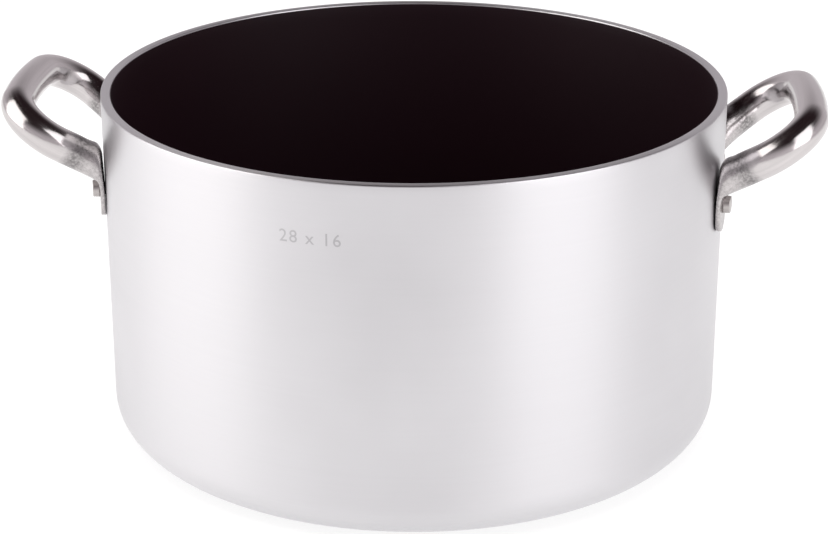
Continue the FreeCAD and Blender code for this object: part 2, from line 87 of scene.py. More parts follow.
def turning_tree(material, around, seam=0.00001):
    """Geometry nodes that turn the half section they are given about the Z axis."""
    tree = bpy.data.node_groups.new("turn_on_lathe", "GeometryNodeTree")
    face = tree.interface
    face.new_socket("Half section", in_out="INPUT", socket_type="NodeSocketGeometry")
    around_socket = face.new_socket("Facets around", in_out="INPUT", socket_type="NodeSocketInt")
    seam_socket = face.new_socket("Seam distance", in_out="INPUT", socket_type="NodeSocketFloat")
    face.new_socket("Turned shell", in_out="OUTPUT", socket_type="NodeSocketGeometry")
    nodes, links = tree.nodes, tree.links

    def add(kind, **settings):
        node = nodes.new(kind)
        for name, setting in settings.items():
            setattr(node, name, setting)
        return node

    def maths(operation, first, second):
        node = add("ShaderNodeMath", operation=operation)
        for socket, source in zip(node.inputs, (first, second)):
            if isinstance(source, (int, float)):
                socket.default_value = source
            else:
                links.new(source, socket)
        return node.outputs[0]

    given = add("NodeGroupInput")
    result = add("NodeGroupOutput")
    size = add("GeometryNodeAttributeDomainSize", component="MESH")
    links.new(given.outputs["Half section"], size.inputs[0])
    count = size.outputs["Point Count"]
    grid = add("GeometryNodeMeshGrid")
    grid.inputs["Size X"].default_value = 1.0
    grid.inputs["Size Y"].default_value = 1.0
    links.new(count, grid.inputs["Vertices X"])
    links.new(maths("ADD", given.outputs["Facets around"], 1), grid.inputs["Vertices Y"])
    place = add("GeometryNodeInputPosition")
    split = add("ShaderNodeSeparateXYZ")
    links.new(place.outputs[0], split.inputs[0])
    last = maths("SUBTRACT", count, 1)
    rank = maths("ROUND", maths("MULTIPLY", maths("ADD", split.outputs[0], 0.5), last), 0)
    angle = maths("MULTIPLY", maths("ADD", split.outputs[1], 0.5), 2 * math.pi)
    sample = add("GeometryNodeSampleIndex", data_type="FLOAT_VECTOR", domain="POINT")
    links.new(given.outputs["Half section"], sample.inputs["Geometry"])
    links.new(place.outputs[0], sample.inputs["Value"])
    links.new(rank, sample.inputs["Index"])
    section = add("ShaderNodeSeparateXYZ")
    links.new(sample.outputs["Value"], section.inputs[0])
    round_point = add("ShaderNodeCombineXYZ")
    links.new(maths("MULTIPLY", section.outputs[0], maths("COSINE", angle, 0)), round_point.inputs[0])
    links.new(maths("MULTIPLY", section.outputs[0], maths("SINE", angle, 0)), round_point.inputs[1])
    links.new(section.outputs[2], round_point.inputs[2])
    wrap = add("GeometryNodeSetPosition")
    links.new(grid.outputs["Mesh"], wrap.inputs["Geometry"])
    links.new(round_point.outputs[0], wrap.inputs["Position"])
    weld = add("GeometryNodeMergeByDistance")
    links.new(wrap.outputs[0], weld.inputs["Geometry"])
    links.new(given.outputs["Seam distance"], weld.inputs["Distance"])
    smooth = add("GeometryNodeSetShadeSmooth")
    links.new(weld.outputs[0], smooth.inputs["Geometry"])
    real = add("GeometryNodeRealizeInstances")
    links.new(smooth.outputs[0], real.inputs[0])
    paint = add("GeometryNodeSetMaterial")
    paint.inputs["Material"].default_value = material
    links.new(real.outputs[0], paint.inputs["Geometry"])
    links.new(paint.outputs[0], result.inputs[0])
    return tree, {around_socket.identifier: around, seam_socket.identifier: seam}


def plain_mesh_from_nodes(name, start_mesh, tree, settings, material):
    """Run a node tree once on a start mesh and keep only the finished mesh."""
    blank = bpy.data.objects.new(name + "_start", start_mesh)
    bpy.context.scene.collection.objects.link(blank)
    modifier = blank.modifiers.new("build", "NODES")
    modifier.node_group = tree
    for identifier, setting in settings.items():
        modifier[identifier] = setting
    evaluated = blank.evaluated_get(bpy.context.evaluated_depsgraph_get())
    mesh = bpy.data.meshes.new_from_object(evaluated)
    blank.modifiers.clear()
    bpy.data.objects.remove(blank)
    mesh.name = name
    finished = bmesh.new()
    finished.from_mesh(mesh)
    bmesh.ops.recalc_face_normals(finished, faces=finished.faces)
    if finished.calc_volume(signed=True) < 0:
        bmesh.ops.reverse_faces(finished, faces=finished.faces)
    finished.to_mesh(mesh)
    finished.free()
    mesh.materials.clear()
    mesh.materials.append(material)
    piece = bpy.data.objects.new(name, mesh)
    bpy.context.scene.collection.objects.link(piece)
    return piece


def turned_piece(name, corners, step, around, material):
    """A piece made on the lathe from its half section."""
    section = bpy.data.meshes.new(name + "_section")
    points = lathe_section(corners, step)
    section.from_pydata(
        [(x, 0.0, z) for x, z in points], [(n, n + 1) for n in range(len(points) - 1)], []
    )
    tree, settings = turning_tree(material, around)
    return plain_mesh_from_nodes(name, section, tree, settings, material)


def turned_aluminium(name, colour, roughness, ring_scale, ring_depth):
    """Bare aluminium with fine lathe rings about the Z axis."""
    material = bpy.data.materials.new(name)
    material.use_nodes = True
    nodes, links = material.node_tree.nodes, material.node_tree.links
    shader = nodes["Principled BSDF"]
    shader.inputs["Metallic"].default_value = 1.0
    # the rings run round the pot, so a highlight spreads up and down, never round
    shader.inputs["Anisotropic"].default_value = 0.7
    shader.inputs["Anisotropic Rotation"].default_value = 0.25
    where = nodes.new("ShaderNodeTexCoord")
    split = nodes.new("ShaderNodeSeparateXYZ")
    links.new(where.outputs["Object"], split.inputs[0])
    # distance from the axis and height, so that the grain runs round the pot
    square = []
    for axis in (0, 1):
        power = nodes.new("ShaderNodeMath")
        power.operation = "MULTIPLY"
        links.new(split.outputs[axis], power.inputs[0])
        links.new(split.outputs[axis], power.inputs[1])
        square.append(power)
    total = nodes.new("ShaderNodeMath")
    links.new(square[0].outputs[0], total.inputs[0])
    links.new(square[1].outputs[0], total.inputs[1])
    root = nodes.new("ShaderNodeMath")
    root.operation = "SQRT"
    links.new(total.outputs[0], root.inputs[0])
    rings = nodes.new("ShaderNodeCombineXYZ")
    links.new(root.outputs[0], rings.inputs[0])
    links.new(split.outputs[2], rings.inputs[2])
    # a trace of the angle keeps the rings from closing on themselves perfectly
    drift = nodes.new("ShaderNodeMath")
    drift.operation = "MULTIPLY"
    drift.inputs[1].default_value = 0.02
    links.new(split.outputs[0], drift.inputs[0])
    links.new(drift.outputs[0], rings.inputs[1])
    fine = nodes.new("ShaderNodeTexNoise")
    fine.inputs["Scale"].default_value = ring_scale
    fine.inputs["Detail"].default_value = 4.0
    links.new(rings.outputs[0], fine.inputs["Vector"])
    cloud = nodes.new("ShaderNodeTexNoise")
    cloud.inputs["Scale"].default_value = 14.0
    cloud.inputs["Detail"].default_value = 3.0
    links.new(where.outputs["Object"], cloud.inputs["Vector"])
    tone = nodes.new("ShaderNodeMapRange")
    tone.inputs["To Min"].default_value = 0.975
    tone.inputs["To Max"].default_value = 1.0
    links.new(fine.outputs["Fac"], tone.inputs["Value"])
    tint = nodes.new("ShaderNodeMix")
    tint.data_type = "RGBA"
    tint.blend_type = "MULTIPLY"
    tint.inputs["Factor"].default_value = 1.0
    tint.inputs["A"].default_value = (*colour, 1.0)
    links.new(tone.outputs[0], tint.inputs["B"])
    links.new(tint.outputs["Result"], shader.inputs["Base Color"])
    rough = nodes.new("ShaderNodeMapRange")
    rough.inputs["From Min"].default_value = 0.3
    rough.inputs["From Max"].default_value = 0.7
    rough.inputs["To Min"].default_value = roughness - 0.03
    rough.inputs["To Max"].default_value = roughness + 0.04
    links.new(cloud.outputs["Fac"], rough.inputs["Value"])
    links.new(rough.outputs[0], shader.inputs["Roughness"])
    bump = nodes.new("ShaderNodeBump")
    bump.inputs["Strength"].default_value = ring_depth
    bump.inputs["Distance"].default_value = 0.0002
    links.new(fine.outputs["Fac"], bump.inputs["Height"])
    links.new(bump.outputs[0], shader.inputs["Normal"])
    tangent = nodes.new("ShaderNodeTangent")
    tangent.direction_type = "RADIAL"
    tangent.axis = "Z"
    links.new(tangent.outputs[0], shader.inputs["Tangent"])
    return material


low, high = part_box("pot_body")
pot_radius = high[0]
pot_height = high[2]
wall = 0.0044
floor_thickness = 0.0047
base_corner = 0.0165
rim_rounding = 0.0007
underside_dish = 0.0006
inner_radius = pot_radius - wall

spun_aluminium = turned_aluminium("satin_spun_aluminium", (0.72, 0.71, 0.727), 0.42, 900.0, 0.06)
vessel = turned_piece(
    "pot_shell",
    [
        (0.0, underside_dish, 0),
        (pot_radius * 0.74, underside_dish, 0.002),
        (pot_radius * 0.755, 0.0, 0.002),
        (pot_radius, 0.0, base_corner),
        (pot_radius, pot_height, rim_rounding),
        (inner_radius, pot_height, rim_rounding),
        (inner_radius, floor_thickness, base_corner - wall),
        (0.0, floor_thickness, 0),
    ],
    0.0035,
    288,
    spun_aluminium,
)
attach(vessel, "root")
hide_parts("pot_body")


# ---------------------------------------------------------------------------
# Size mark. The pot's width and depth in centimetres, rolled into the wall in
# shallow relief below the rim. It is the wall's own metal, a little duller.

def rolled_mark(words, digit_height, azimuth, level, proud, sunk, material):
    """Figures as a thin raised mesh bent round the wall."""
    figures = bpy.data.curves.new("size_figures", "FONT")
    figures.body = words
    figures.size = digit_height
    figures.space_character = 1.15
    figures.align_x = "CENTER"
    figures.extrude = 0.5
    figures.resolution_u = 3
    flat = bpy.data.objects.new("size_figures", figures)
    bpy.context.scene.collection.objects.link(flat)
    evaluated = flat.evaluated_get(bpy.context.evaluated_depsgraph_get())
    mesh = bpy.data.meshes.new_from_object(evaluated)
    bpy.data.objects.remove(flat)
    # long flat faces would cut through the round wall, so they are split until short
    longest, splits = 0.0012, 4
    bent = bmesh.new()
    bent.from_mesh(mesh)
    bmesh.ops.remove_doubles(bent, verts=bent.verts, dist=0.000001)
    bmesh.ops.triangulate(bent, faces=bent.faces)
    for _ in range(splits):
        wide = []
        for edge in bent.edges:
            start, end = edge.verts
            if abs(start.co.x - end.co.x) > longest:
                wide.append(edge)
        if wide:
            bmesh.ops.subdivide_edges(bent, edges=wide, cuts=1)
            bmesh.ops.triangulate(bent, faces=bent.faces)
    for vertex in bent.verts:
        angle = azimuth + vertex.co.x / pot_radius
        radius = pot_radius + (proud if vertex.co.z > 0 else -sunk)
        vertex.co = (radius * math.cos(angle), radius * math.sin(angle), level + vertex.co.y)
    bmesh.ops.recalc_face_normals(bent, faces=bent.faces)
    if bent.calc_volume(signed=True) < 0:
        bmesh.ops.reverse_faces(bent, faces=bent.faces)
    bent.to_mesh(mesh)
    bent.free()
    mesh.materials.clear()
    mesh.materials.append(material)
    piece = bpy.data.objects.new("size_mark", mesh)
    bpy.context.scene.collection.objects.link(piece)
    return piece


rolled_aluminium = turned_aluminium("rolled_aluminium", (0.56, 0.55, 0.565), 0.50, 900.0, 0.06)
figure_size = 0.0078
mark_azimuth, mark_level = math.radians(-103.0), 0.1365
mark_proud, mark_sunk = 0.00003, 0.0002
mark = rolled_mark(
    "28 x 16", figure_size, mark_azimuth, mark_level, mark_proud, mark_sunk, rolled_aluminium
)
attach(mark, "root")


# ---------------------------------------------------------------------------
# Lining. A dark non-stick coat sprayed on the inside and baked, so it follows
# the shell exactly and ends in a clean line where the rim was cut after coating.

def sprayed_coat(name, colour):
    """Baked non-stick coat: nearly black, a faint pebble and a low soft sheen."""
    material = bpy.data.materials.new(name)
    material.use_nodes = True
    nodes, links = material.node_tree.nodes, material.node_tree.links
    shader = nodes["Principled BSDF"]
    shader.inputs["Specular IOR Level"].default_value = 0.25
    where = nodes.new("ShaderNodeTexCoord")
    pebble = nodes.new("ShaderNodeTexNoise")
    pebble.inputs["Scale"].default_value = 1600.0
    pebble.inputs["Detail"].default_value = 2.0
    links.new(where.outputs["Object"], pebble.inputs["Vector"])
    cloud = nodes.new("ShaderNodeTexNoise")
    cloud.inputs["Scale"].default_value = 9.0
    cloud.inputs["Detail"].default_value = 4.0
    links.new(where.outputs["Object"], cloud.inputs["Vector"])
    tone = nodes.new("ShaderNodeMapRange")
    tone.inputs["To Min"].default_value = 0.75
    tone.inputs["To Max"].default_value = 1.25
    links.new(cloud.outputs["Fac"], tone.inputs["Value"])
    tint = nodes.new("ShaderNodeMix")
    tint.data_type = "RGBA"
    tint.blend_type = "MULTIPLY"
    tint.inputs["Factor"].default_value = 1.0
    tint.inputs["A"].default_value = (*colour, 1.0)
    links.new(tone.outputs[0], tint.inputs["B"])
    links.new(tint.outputs["Result"], shader.inputs["Base Color"])
    rough = nodes.new("ShaderNodeMapRange")
    rough.inputs["To Min"].default_value = 0.42
    rough.inputs["To Max"].default_value = 0.54
    links.new(pebble.outputs["Fac"], rough.inputs["Value"])
    links.new(rough.outputs[0], shader.inputs["Roughness"])
    bump = nodes.new("ShaderNodeBump")
    bump.inputs["Strength"].default_value = 0.15
    bump.inputs["Distance"].default_value = 0.0001
    links.new(pebble.outputs["Fac"], bump.inputs["Height"])
    links.new(bump.outputs[0], shader.inputs["Normal"])
    return material


skin = 0.0003
coat_top = pot_height - rim_rounding
dark_coat = sprayed_coat("baked_nonstick_coat", (0.0115, 0.0035, 0.0060))
lining = turned_piece(
    "nonstick_coat",
    [
        (0.0, floor_thickness, 0),
        (inner_radius, floor_thickness, base_corner - wall),
        (inner_radius, coat_top, 0),
        (inner_radius - skin, coat_top, 0.00012),
        (inner_radius - skin, floor_thickness + skin, base_corner - wall - skin),
        (0.0, floor_thickness + skin, 0),
    ],
    0.005,
    256,
    dark_coat,
)
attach(lining, "root")
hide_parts("nonstick_lining")


# ---------------------------------------------------------------------------
# Handles. Each is one stainless tube bent into a loop and polished along its
# length. Both ends are pressed flat, turned down and laid against the wall.

def pressed_steel(name, colour):
    """Polished stainless tube: grain along the tube, rougher where the press worked it, with a painted
    dark reflection where it starts to flatten.
    """
    material = bpy.data.materials.new(name)
    material.use_nodes = True
    nodes, links = material.node_tree.nodes, material.node_tree.links
    shader = nodes["Principled BSDF"]
    shader.inputs["Metallic"].default_value = 1.0
    on_tube = nodes.new("ShaderNodeAttribute")
    on_tube.attribute_name = "place_on_tube"
    pressed = nodes.new("ShaderNodeAttribute")
    pressed.attribute_name = "pressed"
    where = nodes.new("ShaderNodeTexCoord")

    def noise(source, scale, detail):
        node = nodes.new("ShaderNodeTexNoise")
        node.inputs["Scale"].default_value = scale
        node.inputs["Detail"].default_value = detail
        links.new(source, node.inputs["Vector"])
        return node.outputs["Fac"]

    def spread(source, low, high, start=0.3, end=0.7):
        node = nodes.new("ShaderNodeMapRange")
        node.inputs["From Min"].default_value = start
        node.inputs["From Max"].default_value = end
        node.inputs["To Min"].default_value = low
        node.inputs["To Max"].default_value = high
        links.new(source, node.inputs["Value"])
        return node.outputs[0]

    def maths(operation, first, second):
        node = nodes.new("ShaderNodeMath")
        node.operation = operation
        links.new(first, node.inputs[0])
        links.new(second, node.inputs[1])
        return node.outputs[0]

    grain = noise(on_tube.outputs["Vector"], 900.0, 5.0)
    streaks = noise(on_tube.outputs["Vector"], 170.0, 3.0)
    peel = noise(where.outputs["Object"], 850.0, 4.0)
    tone = maths("MULTIPLY", spread(grain, 0.90, 1.0), spread(streaks, 0.86, 1.0))
    # a painted dark reflection: a darker patch where the tube starts to flatten
    painted_reflection_patch = spread(pressed.outputs["Fac"], 0.0, 1.0, 0.04, 0.24)
    painted_reflection_patch = maths("MULTIPLY", painted_reflection_patch, spread(pressed.outputs["Fac"], 1.0, 0.0, 0.34, 0.64))
    painted_reflection_patch = maths("MULTIPLY", painted_reflection_patch, spread(peel, 0.22, 0.55))
    press_tone_and_painted_reflection = maths("MULTIPLY", spread(peel, 0.06, 0.32), pressed.outputs["Fac"])
    press_tone_and_painted_reflection = maths("ADD", press_tone_and_painted_reflection, painted_reflection_patch)
    tint = nodes.new("ShaderNodeMix")
    tint.data_type = "RGBA"
    tint.blend_type = "MULTIPLY"
    tint.inputs["Factor"].default_value = 1.0
    tint.inputs["A"].default_value = (*colour, 1.0)
    # the base colour is darkened by the press marks and by the painted dark reflection
    links.new(maths("SUBTRACT", tone, press_tone_and_painted_reflection), tint.inputs["B"])
    links.new(tint.outputs["Result"], shader.inputs["Base Color"])
    worked_roughness = maths("MULTIPLY", spread(peel, 0.04, 0.16), pressed.outputs["Fac"])
    links.new(maths("ADD", spread(grain, 0.13, 0.24), worked_roughness), shader.inputs["Roughness"])
    relief = maths("ADD", grain, maths("MULTIPLY", peel, pressed.outputs["Fac"]))
    bump = nodes.new("ShaderNodeBump")
    bump.inputs["Strength"].default_value = 0.16
    bump.inputs["Distance"].default_value = 0.0001
    links.new(relief, bump.inputs["Height"])
    links.new(bump.outputs[0], shader.inputs["Normal"])
    return material


foot_angle = math.radians(12.8)
foot_gap, foot_sheet = 0.00005, 0.0024
foot_tip_radius, foot_tip_level = 0.0086, 0.1067
foot_taper = 0.2
foot_squareness = 5.5
tube_radius = 0.00775
arm_splay, arm_slope = math.radians(24.0), math.radians(31.5)
arm_start, arm_level = 0.014, 0.1306
start_level = arm_level + arm_start * math.tan(arm_slope)
grip_reach, grip_radius, grip_corner = 0.1815, 0.230, 0.020
# How the round end is pressed: inner edge and outer edge of each oval (distance from the
# wall, height below the round), its width and the share of the arm's swing left there.
pressed_ovals = [
    ((0.0058, -0.0040), (0.0150, 0.0084), 0.0162, 0.75),
    ((0.0023, -0.0020), (0.0116, 0.0104), 0.0176, 0.5),
    ((0.0007, 0.0014), (0.0082, 0.0122), 0.0192, 0.3),
    ((0.0004, 0.0064), (0.0054, 0.0134), 0.0202, 0.15),
    ((0.0002, 0.0120), (0.0033, 0.0146), 0.0204, 0.0),
    ((0.0001, 0.0182), (0.0025, 0.0182), 0.0190, 0.0),
]
# Levels of the sections down the flat foot, closer together round its tip.
foot_rows = (0.1174, 0.1153, 0.1132, 0.1112, 0.1095, 0.1082, 0.1074, 0.10695)
# Sections along half the grip, round one corner bend and down one straight arm.
grip_steps, bend_steps, arm_steps = 16, 28, 16
arm_pressed = 0.3


def foot_half():
    """Sections of one pressed end, from the round tube to the tip of its foot.

    Each is (distance from wall, aside, level, swing, tilt, half width, half thickness,
    squareness, pressed). Pressed goes from 0 on the round tube to 1 on the foot.
    """
    swing = arm_splay - foot_angle
    sections = [(
        arm_start * math.cos(swing), arm_start * math.sin(swing), start_level,
        swing, arm_slope, tube_radius, tube_radius, 2.0, arm_pressed,
    )]
    for number, (inner, outer, width, swing_left) in enumerate(pressed_ovals, start=1):
        across, fall = outer[0] - inner[0], outer[1] - inner[1]
        share = number / len(pressed_ovals)
        sections.append((
            (inner[0] + outer[0]) / 2, arm_start * math.sin(swing) * swing_left,
            start_level - (inner[1] + outer[1]) / 2, swing * swing_left,
            math.atan2(across, fall), width / 2, math.hypot(across, fall) / 2,
            2.0 + 2.5 * share ** 3, min(1.0, arm_pressed + share),
        ))
    tip_centre = foot_tip_level + foot_tip_radius
    for level in foot_rows:
        below = max(0.0, tip_centre - level)
        half_width = math.sqrt(foot_tip_radius ** 2 - below ** 2)
        half_width += max(0.0, level - tip_centre) * foot_taper
        sections.append((
            foot_gap + foot_sheet / 2, 0.0, level, 0.0, math.pi / 2,
            half_width, foot_sheet / 2, foot_squareness, 1.0,
        ))
    return sections


def eased(before, first, second, after, share):
    """Smooth value between two sections, steered by the ones on either side."""
    return 0.5 * (
        2 * first
        + (second - before) * share
        + (2 * before - 5 * first + 4 * second - after) * share ** 2
        + (3 * first - before - 3 * second + after) * share ** 3
    )


def section_ring(centre, side, thick, half_width, half_thick, squareness, around):
    """Points round one section: a circle or oval at squareness 2, boxier above it."""
    ring = []
    for step in range(around):
        angle = 2 * math.pi * step / around
        c, s = math.cos(angle), math.sin(angle)
        out = math.copysign(abs(c) ** (2 / squareness), c) * half_width
        up = math.copysign(abs(s) ** (2 / squareness), s) * half_thick
        ring.append(centre + side * out + thick * up)
    return ring


def half_loop_rings(around):
    """Rings from the middle of the grip to the tip of the +Y foot, and how pressed each is."""
    foot_axis = Vector((math.cos(foot_angle), math.sin(foot_angle), 0.0))
    start_x = pot_radius * math.cos(foot_angle) + arm_start * math.cos(arm_splay)
    start_y = pot_radius * math.sin(foot_angle) + arm_start * math.sin(arm_splay)
    plane_tilt = math.atan2(math.tan(arm_slope), math.cos(arm_splay))
    along = math.hypot(math.cos(arm_splay) * math.cos(arm_slope), math.sin(arm_slope))
    lean = math.atan2(math.sin(arm_splay) * math.cos(arm_slope), along)
    outward = Vector((math.cos(plane_tilt), 0.0, math.sin(plane_tilt)))
    aside = Vector((0.0, 1.0, 0.0))
    square = outward.cross(aside)
    origin = Vector((start_x, 0.0, start_level))
    apex = (grip_reach - start_x) / math.cos(plane_tilt)
    grip_centre = Vector((apex - grip_radius, 0.0))
    direction = Vector((math.cos(lean), math.sin(lean)))
    inward = Vector((math.sin(lean), -math.cos(lean)))
    foot = Vector((0.0, start_y))
    base = foot + inward * grip_corner - grip_centre
    back = base.dot(direction)
    travel = math.sqrt(back ** 2 - base.dot(base) + (grip_radius - grip_corner) ** 2) - back
    line_end = foot + direction * travel
    bend_centre = line_end + inward * grip_corner
    grip_half = math.atan2(bend_centre.y - grip_centre.y, bend_centre.x - grip_centre.x)
    arm_side = math.atan2(line_end.y - bend_centre.y, line_end.x - bend_centre.x)

    # each station is a point in the loop's plane, the angle that its outer side faces
    # and how far down the straight arm it lies
    stations = []
    for step in range(grip_steps):
        angle = grip_half * step / grip_steps
        place = grip_centre + Vector((math.cos(angle), math.sin(angle))) * grip_radius
        stations.append((place, angle, 0.0))
    for step in range(bend_steps):
        angle = grip_half + (arm_side - grip_half) * step / bend_steps
        place = bend_centre + Vector((math.cos(angle), math.sin(angle))) * grip_corner
        stations.append((place, angle, 0.0))
    for step in range(arm_steps):
        share = step / arm_steps
        stations.append((line_end.lerp(foot, share), arm_side, share))

    # the loop's sections are turned little by little to meet the pressed end's
    swing = arm_splay - foot_angle
    first_side = Vector((-math.sin(arm_splay), math.cos(arm_splay), 0.0))
    out_side = outward * math.cos(arm_side) + aside * math.sin(arm_side)
    twist = math.atan2(first_side.dot(square), first_side.dot(out_side))
    rings, worked = [], []
    for place, angle, share in stations:
        centre = origin + outward * place.x + aside * place.y
        across = outward * math.cos(angle) + aside * math.sin(angle)
        turn = twist * share * share * (3 - 2 * share)
        side = across * math.cos(turn) + square * math.sin(turn)
        thick = square * math.cos(turn) - across * math.sin(turn)
        rings.append(section_ring(centre, side, thick, tube_radius, tube_radius, 2.0, around))
        worked.append(arm_pressed * share)

    # one extra section up the arm and one at the tip steer the smooth blend between them
    sections = foot_half()
    step_back = 0.004
    level_step = math.cos(arm_slope) * step_back
    lead_in = list(sections[0])
    lead_in[0] += level_step * math.cos(swing)
    lead_in[1] += level_step * math.sin(swing)
    lead_in[2] += math.sin(arm_slope) * step_back
    guided = [lead_in] + sections + [sections[-1]]
    for number in range(1, len(guided) - 2):
        quarter = guided[number - 1:number + 3]
        pieces = 8 if number <= len(pressed_ovals) + 1 else 3
        for piece in range(pieces):
            share = piece / pieces
            mixed = [eased(*values, share) for values in zip(*quarter)]
            distance, sideways, level, swung, tilt = mixed[:5]
            half_width, half_thick, squareness, press = mixed[5:]
            turned = foot_angle + swung
            side = Vector((-math.sin(turned), math.cos(turned), 0.0))
            lean_in = -math.sin(tilt)
            thick = Vector((lean_in * math.cos(turned), lean_in * math.sin(turned), math.cos(tilt)))
            centre = foot_axis * (pot_radius + distance)
            centre += Vector((-foot_axis.y, foot_axis.x, 0.0)) * sideways
            centre.z = level
            ring = section_ring(centre, side, thick, half_width, half_thick, squareness, around)
            rings.append(ring)
            worked.append(press)
    return rings, worked


def tube_handle(name, turned, grain_shift, around, material):
    """One whole handle: half a loop and its mirror image, turned about the pot's axis."""
    half, worked = half_loop_rings(around)
    mirrored = [[Vector((p.x, -p.y, p.z)) for p in ring] for ring in half[1:]]
    rings = list(reversed(mirrored)) + half
    pressed = list(reversed(worked[1:])) + worked
    middles = [sum(ring, Vector()) / around for ring in rings]
    spin_x, spin_y = math.cos(turned), math.sin(turned)
    grain_stretch = 0.035
    tip_rounding = 0.0002
    points, on_tube, press = [], [], []

    def spun(point, drop):
        x = point.x * spin_x - point.y * spin_y
        y = point.x * spin_y + point.y * spin_x
        return (x, y, point.z - drop)

    length = grain_shift
    for number, ring in enumerate(rings):
        if number:
            length += (middles[number] - middles[number - 1]).length
        for step, point in enumerate(ring):
            angle = 2 * math.pi * step / around
            across, up = tube_radius * math.cos(angle), tube_radius * math.sin(angle)
            points.append(spun(point, 0.0))
            on_tube.append((across, up, length * grain_stretch))
            press.append(pressed[number])
    faces = []
    for number in range(len(rings) - 1):
        here, there = number * around, (number + 1) * around
        for step in range(around):
            following = (step + 1) % around
            faces.append((here + step, here + following, there + following, there + step))
    for ring_number in (0, len(rings) - 1):
        first = ring_number * around
        points.append(spun(middles[ring_number], tip_rounding))
        on_tube.append(on_tube[first])
        press.append(1.0)
        for step in range(around):
            faces.append((first + step, first + (step + 1) % around, len(points) - 1))
    mesh = bpy.data.meshes.new(name)
    mesh.from_pydata(points, [], faces)
    tube_attribute = mesh.attributes.new("place_on_tube", "FLOAT_VECTOR", "POINT")
    tube_attribute.data.foreach_set("vector", [number for place in on_tube for number in place])
    press_attribute = mesh.attributes.new("pressed", "FLOAT", "POINT")
    press_attribute.data.foreach_set("value", press)
    finished = bmesh.new()
    finished.from_mesh(mesh)
    bmesh.ops.recalc_face_normals(finished, faces=finished.faces)
    if finished.calc_volume(signed=True) < 0:
        bmesh.ops.reverse_faces(finished, faces=finished.faces)
    for face in finished.faces:
        face.smooth = True
    finished.to_mesh(mesh)
    finished.free()
    mesh.materials.append(material)
    piece = bpy.data.objects.new(name, mesh)
    bpy.context.scene.collection.objects.link(piece)
    return piece


steel = pressed_steel("polished_steel_tube", (0.66, 0.625, 0.625))
for node_name, turned, grain_shift in (("right_handle", 0.0, 0.0), ("left_handle", math.pi, 0.7)):
    handle = tube_handle(node_name + "_tube", turned, grain_shift, 56, steel)
    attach(handle, "root")
    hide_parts(node_name)


# ---------------------------------------------------------------------------
# Rivets. Four solid aluminium rivets, one through each handle foot: a flat
# button head outside and a low dome inside, both set hard against the metal.

def placed_copies(name, piece, places, headings, material):
    """Copies of a piece stood at each place and turned to each heading, as one mesh."""
    tree = bpy.data.node_groups.new("set_in_place", "GeometryNodeTree")
    face = tree.interface
    face.new_socket("Places", in_out="INPUT", socket_type="NodeSocketGeometry")
    piece_socket = face.new_socket("Piece", in_out="INPUT", socket_type="NodeSocketObject")
    face.new_socket("Copies", in_out="OUTPUT", socket_type="NodeSocketGeometry")
    nodes, links = tree.nodes, tree.links
    given = nodes.new("NodeGroupInput")
    result = nodes.new("NodeGroupOutput")
    source = nodes.new("GeometryNodeObjectInfo")
    links.new(given.outputs["Piece"], source.inputs["Object"])
    heading = nodes.new("GeometryNodeInputNamedAttribute")
    heading.data_type = "FLOAT_VECTOR"
    heading.inputs["Name"].default_value = "heading"
    copies = nodes.new("GeometryNodeInstanceOnPoints")
    links.new(given.outputs["Places"], copies.inputs["Points"])
    links.new(source.outputs["Geometry"], copies.inputs["Instance"])
    links.new(heading.outputs["Attribute"], copies.inputs["Rotation"])
    real = nodes.new("GeometryNodeRealizeInstances")
    links.new(copies.outputs[0], real.inputs[0])
    paint = nodes.new("GeometryNodeSetMaterial")
    paint.inputs["Material"].default_value = material
    links.new(real.outputs[0], paint.inputs["Geometry"])
    links.new(paint.outputs[0], result.inputs[0])
    spots = bpy.data.meshes.new(name + "_places")
    spots.from_pydata(places, [], [])
    turns = spots.attributes.new("heading", "FLOAT_VECTOR", "POINT")
    for number, angles in enumerate(headings):
        turns.data[number].vector = angles
    return plain_mesh_from_nodes(name, spots, tree, {piece_socket.identifier: piece}, material)


def headed_metal(name, colour):
    """Soft aluminium as the rivet press leaves it: dull, with faint pitting."""
    material = bpy.data.materials.new(name)
    material.use_nodes = True
    nodes, links = material.node_tree.nodes, material.node_tree.links
    shader = nodes["Principled BSDF"]
    shader.inputs["Metallic"].default_value = 1.0
    where = nodes.new("ShaderNodeTexCoord")
    pits = nodes.new("ShaderNodeTexNoise")
    pits.inputs["Scale"].default_value = 900.0
    pits.inputs["Detail"].default_value = 3.0
    links.new(where.outputs["Object"], pits.inputs["Vector"])
    tone = nodes.new("ShaderNodeMapRange")
    tone.inputs["To Min"].default_value = 0.85
    tone.inputs["To Max"].default_value = 1.05
    links.new(pits.outputs["Fac"], tone.inputs["Value"])
    tint = nodes.new("ShaderNodeMix")
    tint.data_type = "RGBA"
    tint.blend_type = "MULTIPLY"
    tint.inputs["Factor"].default_value = 1.0
    tint.inputs["A"].default_value = (*colour, 1.0)
    links.new(tone.outputs[0], tint.inputs["B"])
    links.new(tint.outputs["Result"], shader.inputs["Base Color"])
    rough = nodes.new("ShaderNodeMapRange")
    rough.inputs["To Min"].default_value = 0.26
    rough.inputs["To Max"].default_value = 0.42
    links.new(pits.outputs["Fac"], rough.inputs["Value"])
    links.new(rough.outputs[0], shader.inputs["Roughness"])
    bump = nodes.new("ShaderNodeBump")
    bump.inputs["Strength"].default_value = 0.2
    bump.inputs["Distance"].default_value = 0.0001
    links.new(pits.outputs["Fac"], bump.inputs["Height"])
    links.new(bump.outputs[0], shader.inputs["Normal"])
    return material


